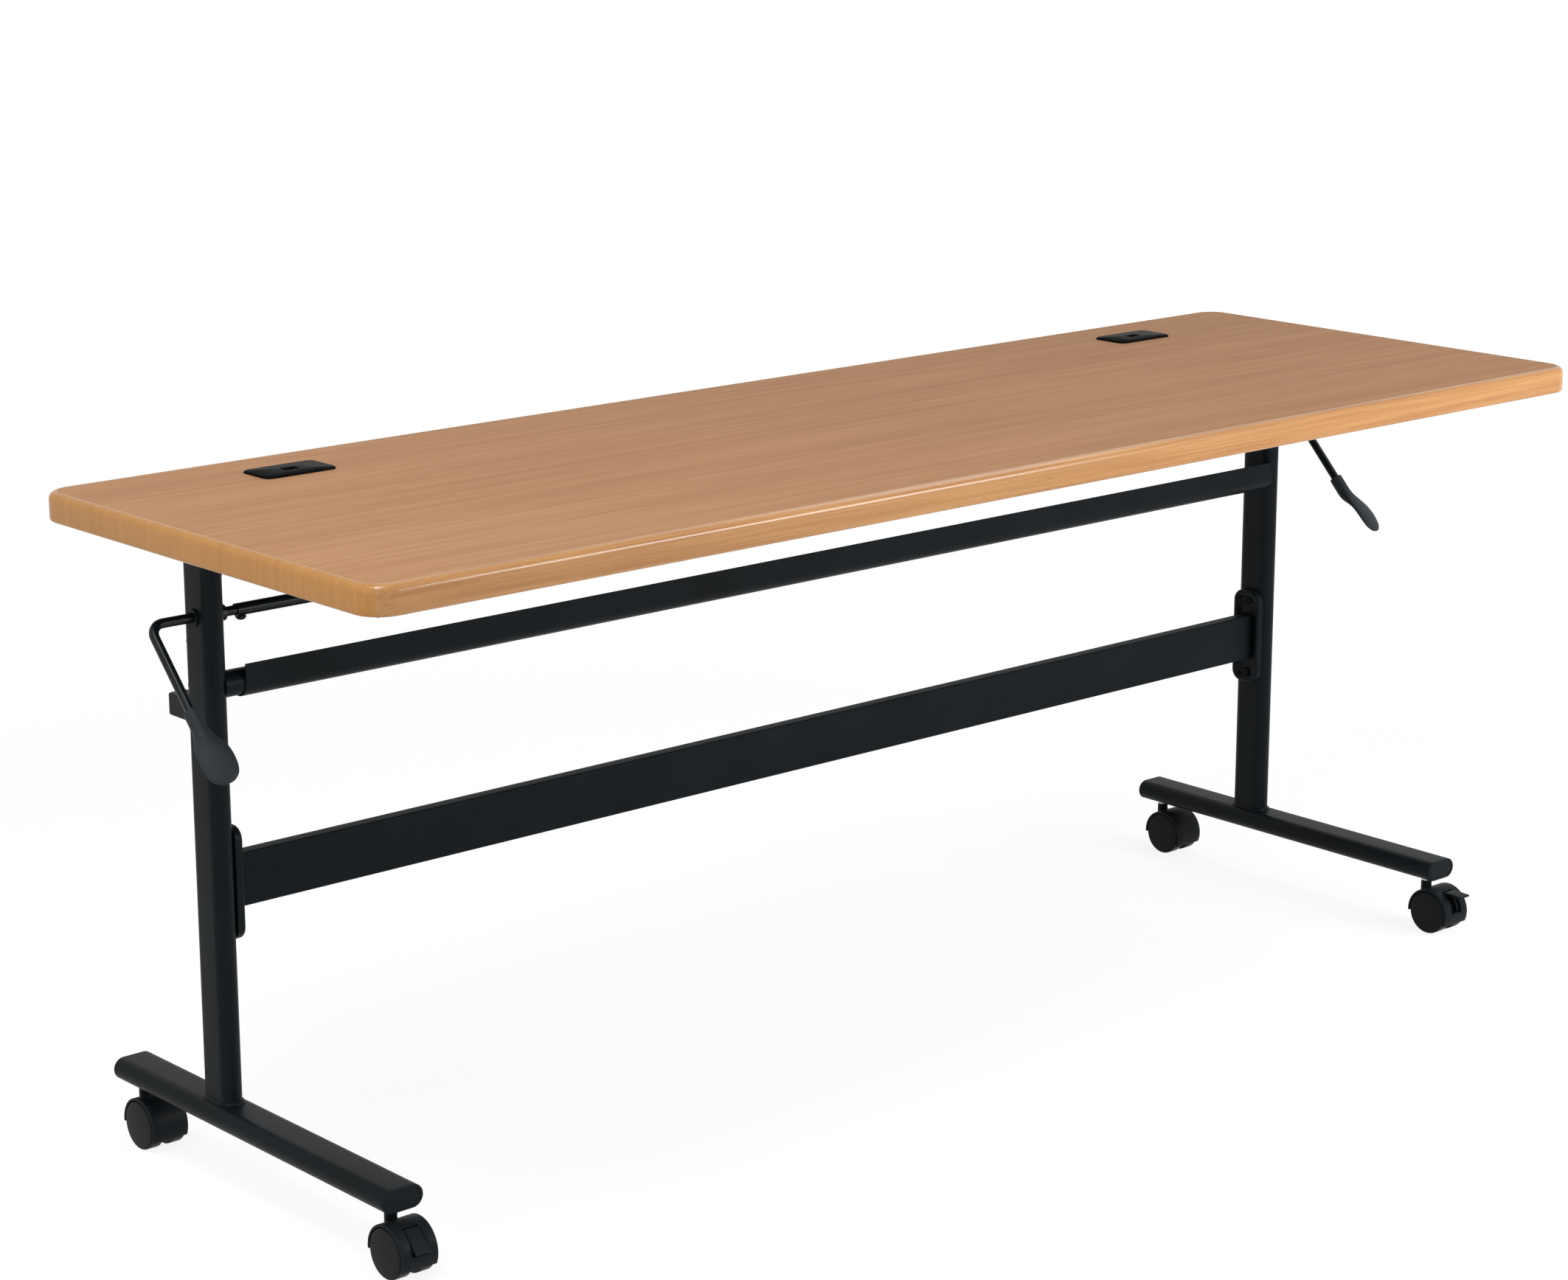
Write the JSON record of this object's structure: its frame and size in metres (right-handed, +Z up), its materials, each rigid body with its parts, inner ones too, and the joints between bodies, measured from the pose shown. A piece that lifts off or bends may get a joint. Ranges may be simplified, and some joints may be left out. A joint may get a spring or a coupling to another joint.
{
  "type": "flip top training table",
  "caption": "Flip top training table on twin wheel casters, with a wood grain laminate top, black flat-oval legs, wire trough and release levers",
  "frame": {"origin": "on the floor, under the middle of the bounding box", "axes": "+X along the table to the right, +Y to its back, +Z up"},
  "size_m": [1.8288, 0.6178, 0.7518],
  "materials": {
    "laminate": "satin wood grain laminate",
    "edge_banding": "satin wood grain edge band",
    "powder_coat": "fine black powder coat",
    "black_plastic": "moulded black",
    "wheel_plastic": "smooth black nylon",
    "dark_steel": "black plated steel",
    "bright_steel": "zinc plated"
  },
  "bodies": {
    "base": {"left_leg": "powder_coat", "left_leg_head": "dark_steel", "left_pivot_bolt": "bright_steel", "left_foot": "powder_coat", "left_front_foot_cap": "black_plastic", "left_back_foot_cap": "black_plastic", "left_crossbar_bracket": "powder_coat", "left_lever_bush": "black_plastic", "left_front_caster_stem": "bright_steel", "left_back_caster_stem": "bright_steel", "right_leg": "powder_coat", "right_leg_head": "dark_steel", "right_pivot_bolt": "bright_steel", "right_foot": "powder_coat", "right_front_foot_cap": "black_plastic", "right_back_foot_cap": "black_plastic", "right_crossbar_bracket": "powder_coat", "right_lever_bush": "black_plastic", "right_front_caster_stem": "bright_steel", "right_back_caster_stem": "bright_steel", "cross_tube": "powder_coat", "wire_trough": "powder_coat", "lower_crossbar": "powder_coat", "link_block": "black_plastic", "return_spring": "bright_steel"},
    "top": {"table_top": "laminate", "edge_band": "edge_banding", "centre_stiffener": "powder_coat", "left_grommet_cover": "black_plastic", "left_top_arm": "powder_coat", "left_hinge_bracket": "powder_coat", "left_latch_plate": "dark_steel", "right_grommet_cover": "black_plastic", "right_top_arm": "powder_coat", "right_hinge_bracket": "powder_coat", "right_latch_plate": "dark_steel"},
    "release": {"release_tube": "powder_coat", "left_set_screw": "dark_steel", "left_pawl": "dark_steel", "left_lever_rod": "powder_coat", "left_lever_grip": "black_plastic", "right_set_screw": "dark_steel", "right_pawl": "dark_steel", "right_lever_rod": "powder_coat", "right_lever_grip": "black_plastic"},
    "left_front_caster": {"left_front_caster_hood": "black_plastic"},
    "left_front_outer_wheel_body": {"left_front_outer_wheel": "wheel_plastic"},
    "left_front_inner_wheel_body": {"left_front_inner_wheel": "wheel_plastic"},
    "left_back_caster": {"left_back_caster_hood": "black_plastic"},
    "left_back_outer_wheel_body": {"left_back_outer_wheel": "wheel_plastic"},
    "left_back_inner_wheel_body": {"left_back_inner_wheel": "wheel_plastic"},
    "right_front_caster": {"right_front_caster_hood": "black_plastic"},
    "right_front_outer_wheel_body": {"right_front_outer_wheel": "wheel_plastic"},
    "right_front_inner_wheel_body": {"right_front_inner_wheel": "wheel_plastic"},
    "right_back_caster": {"right_back_caster_hood": "black_plastic"},
    "right_back_outer_wheel_body": {"right_back_outer_wheel": "wheel_plastic"},
    "right_back_inner_wheel_body": {"right_back_inner_wheel": "wheel_plastic"},
    "left_brake": {"left_brake_pedal": "black_plastic"},
    "right_brake": {"right_brake_pedal": "black_plastic"}
  },
  "joints": [
    {"name": "top_flip", "type": "hinge", "parent": "base", "child": "top", "pos_m": [0, 0.1509, 0.70305], "axis": [-1, 0, 0], "range_deg": [0, 90]},
    {"name": "release_turn", "type": "hinge", "parent": "base", "child": "release", "pos_m": [0, 0.1239, 0.6305], "axis": [-1, 0, 0], "range_deg": [-12, 10], "stiffness_Nm_per_rad": 3, "springref_deg": -12, "deforming": ["return_spring"]},
    {"name": "left_front_caster_swivel", "type": "hinge", "parent": "base", "child": "left_front_caster", "pos_m": [-0.826, -0.1821, 0.055], "axis": [0, 0, 1], "continuous": true},
    {"name": "left_front_outer_wheel_roll", "type": "hinge", "parent": "left_front_caster", "child": "left_front_outer_wheel_body", "pos_m": [-0.838, -0.2021, 0.0275], "axis": [1, 0, 0], "continuous": true},
    {"name": "left_front_inner_wheel_roll", "type": "hinge", "parent": "left_front_caster", "child": "left_front_inner_wheel_body", "pos_m": [-0.814, -0.2021, 0.0275], "axis": [1, 0, 0], "continuous": true},
    {"name": "left_back_caster_swivel", "type": "hinge", "parent": "base", "child": "left_back_caster", "pos_m": [-0.826, 0.2859, 0.055], "axis": [0, 0, 1], "continuous": true},
    {"name": "left_back_outer_wheel_roll", "type": "hinge", "parent": "left_back_caster", "child": "left_back_outer_wheel_body", "pos_m": [-0.838, 0.2659, 0.0275], "axis": [1, 0, 0], "continuous": true},
    {"name": "left_back_inner_wheel_roll", "type": "hinge", "parent": "left_back_caster", "child": "left_back_inner_wheel_body", "pos_m": [-0.814, 0.2659, 0.0275], "axis": [1, 0, 0], "continuous": true},
    {"name": "right_front_caster_swivel", "type": "hinge", "parent": "base", "child": "right_front_caster", "pos_m": [0.826, -0.1821, 0.055], "axis": [0, 0, 1], "continuous": true},
    {"name": "right_front_outer_wheel_roll", "type": "hinge", "parent": "right_front_caster", "child": "right_front_outer_wheel_body", "pos_m": [0.838, -0.2021, 0.0275], "axis": [1, 0, 0], "continuous": true},
    {"name": "right_front_inner_wheel_roll", "type": "hinge", "parent": "right_front_caster", "child": "right_front_inner_wheel_body", "pos_m": [0.814, -0.2021, 0.0275], "axis": [1, 0, 0], "continuous": true},
    {"name": "right_back_caster_swivel", "type": "hinge", "parent": "base", "child": "right_back_caster", "pos_m": [0.826, 0.2859, 0.055], "axis": [0, 0, 1], "continuous": true},
    {"name": "right_back_outer_wheel_roll", "type": "hinge", "parent": "right_back_caster", "child": "right_back_outer_wheel_body", "pos_m": [0.838, 0.2659, 0.0275], "axis": [1, 0, 0], "continuous": true},
    {"name": "right_back_inner_wheel_roll", "type": "hinge", "parent": "right_back_caster", "child": "right_back_inner_wheel_body", "pos_m": [0.814, 0.2659, 0.0275], "axis": [1, 0, 0], "continuous": true},
    {"name": "left_brake_press", "type": "hinge", "parent": "left_front_caster", "child": "left_brake", "pos_m": [-0.826, -0.21655, 0.05356], "axis": [1, 0, 0], "range_deg": [-20, 0]},
    {"name": "right_brake_press", "type": "hinge", "parent": "right_front_caster", "child": "right_brake", "pos_m": [0.826, -0.21655, 0.05356], "axis": [1, 0, 0], "range_deg": [0, 20]}
  ]
}
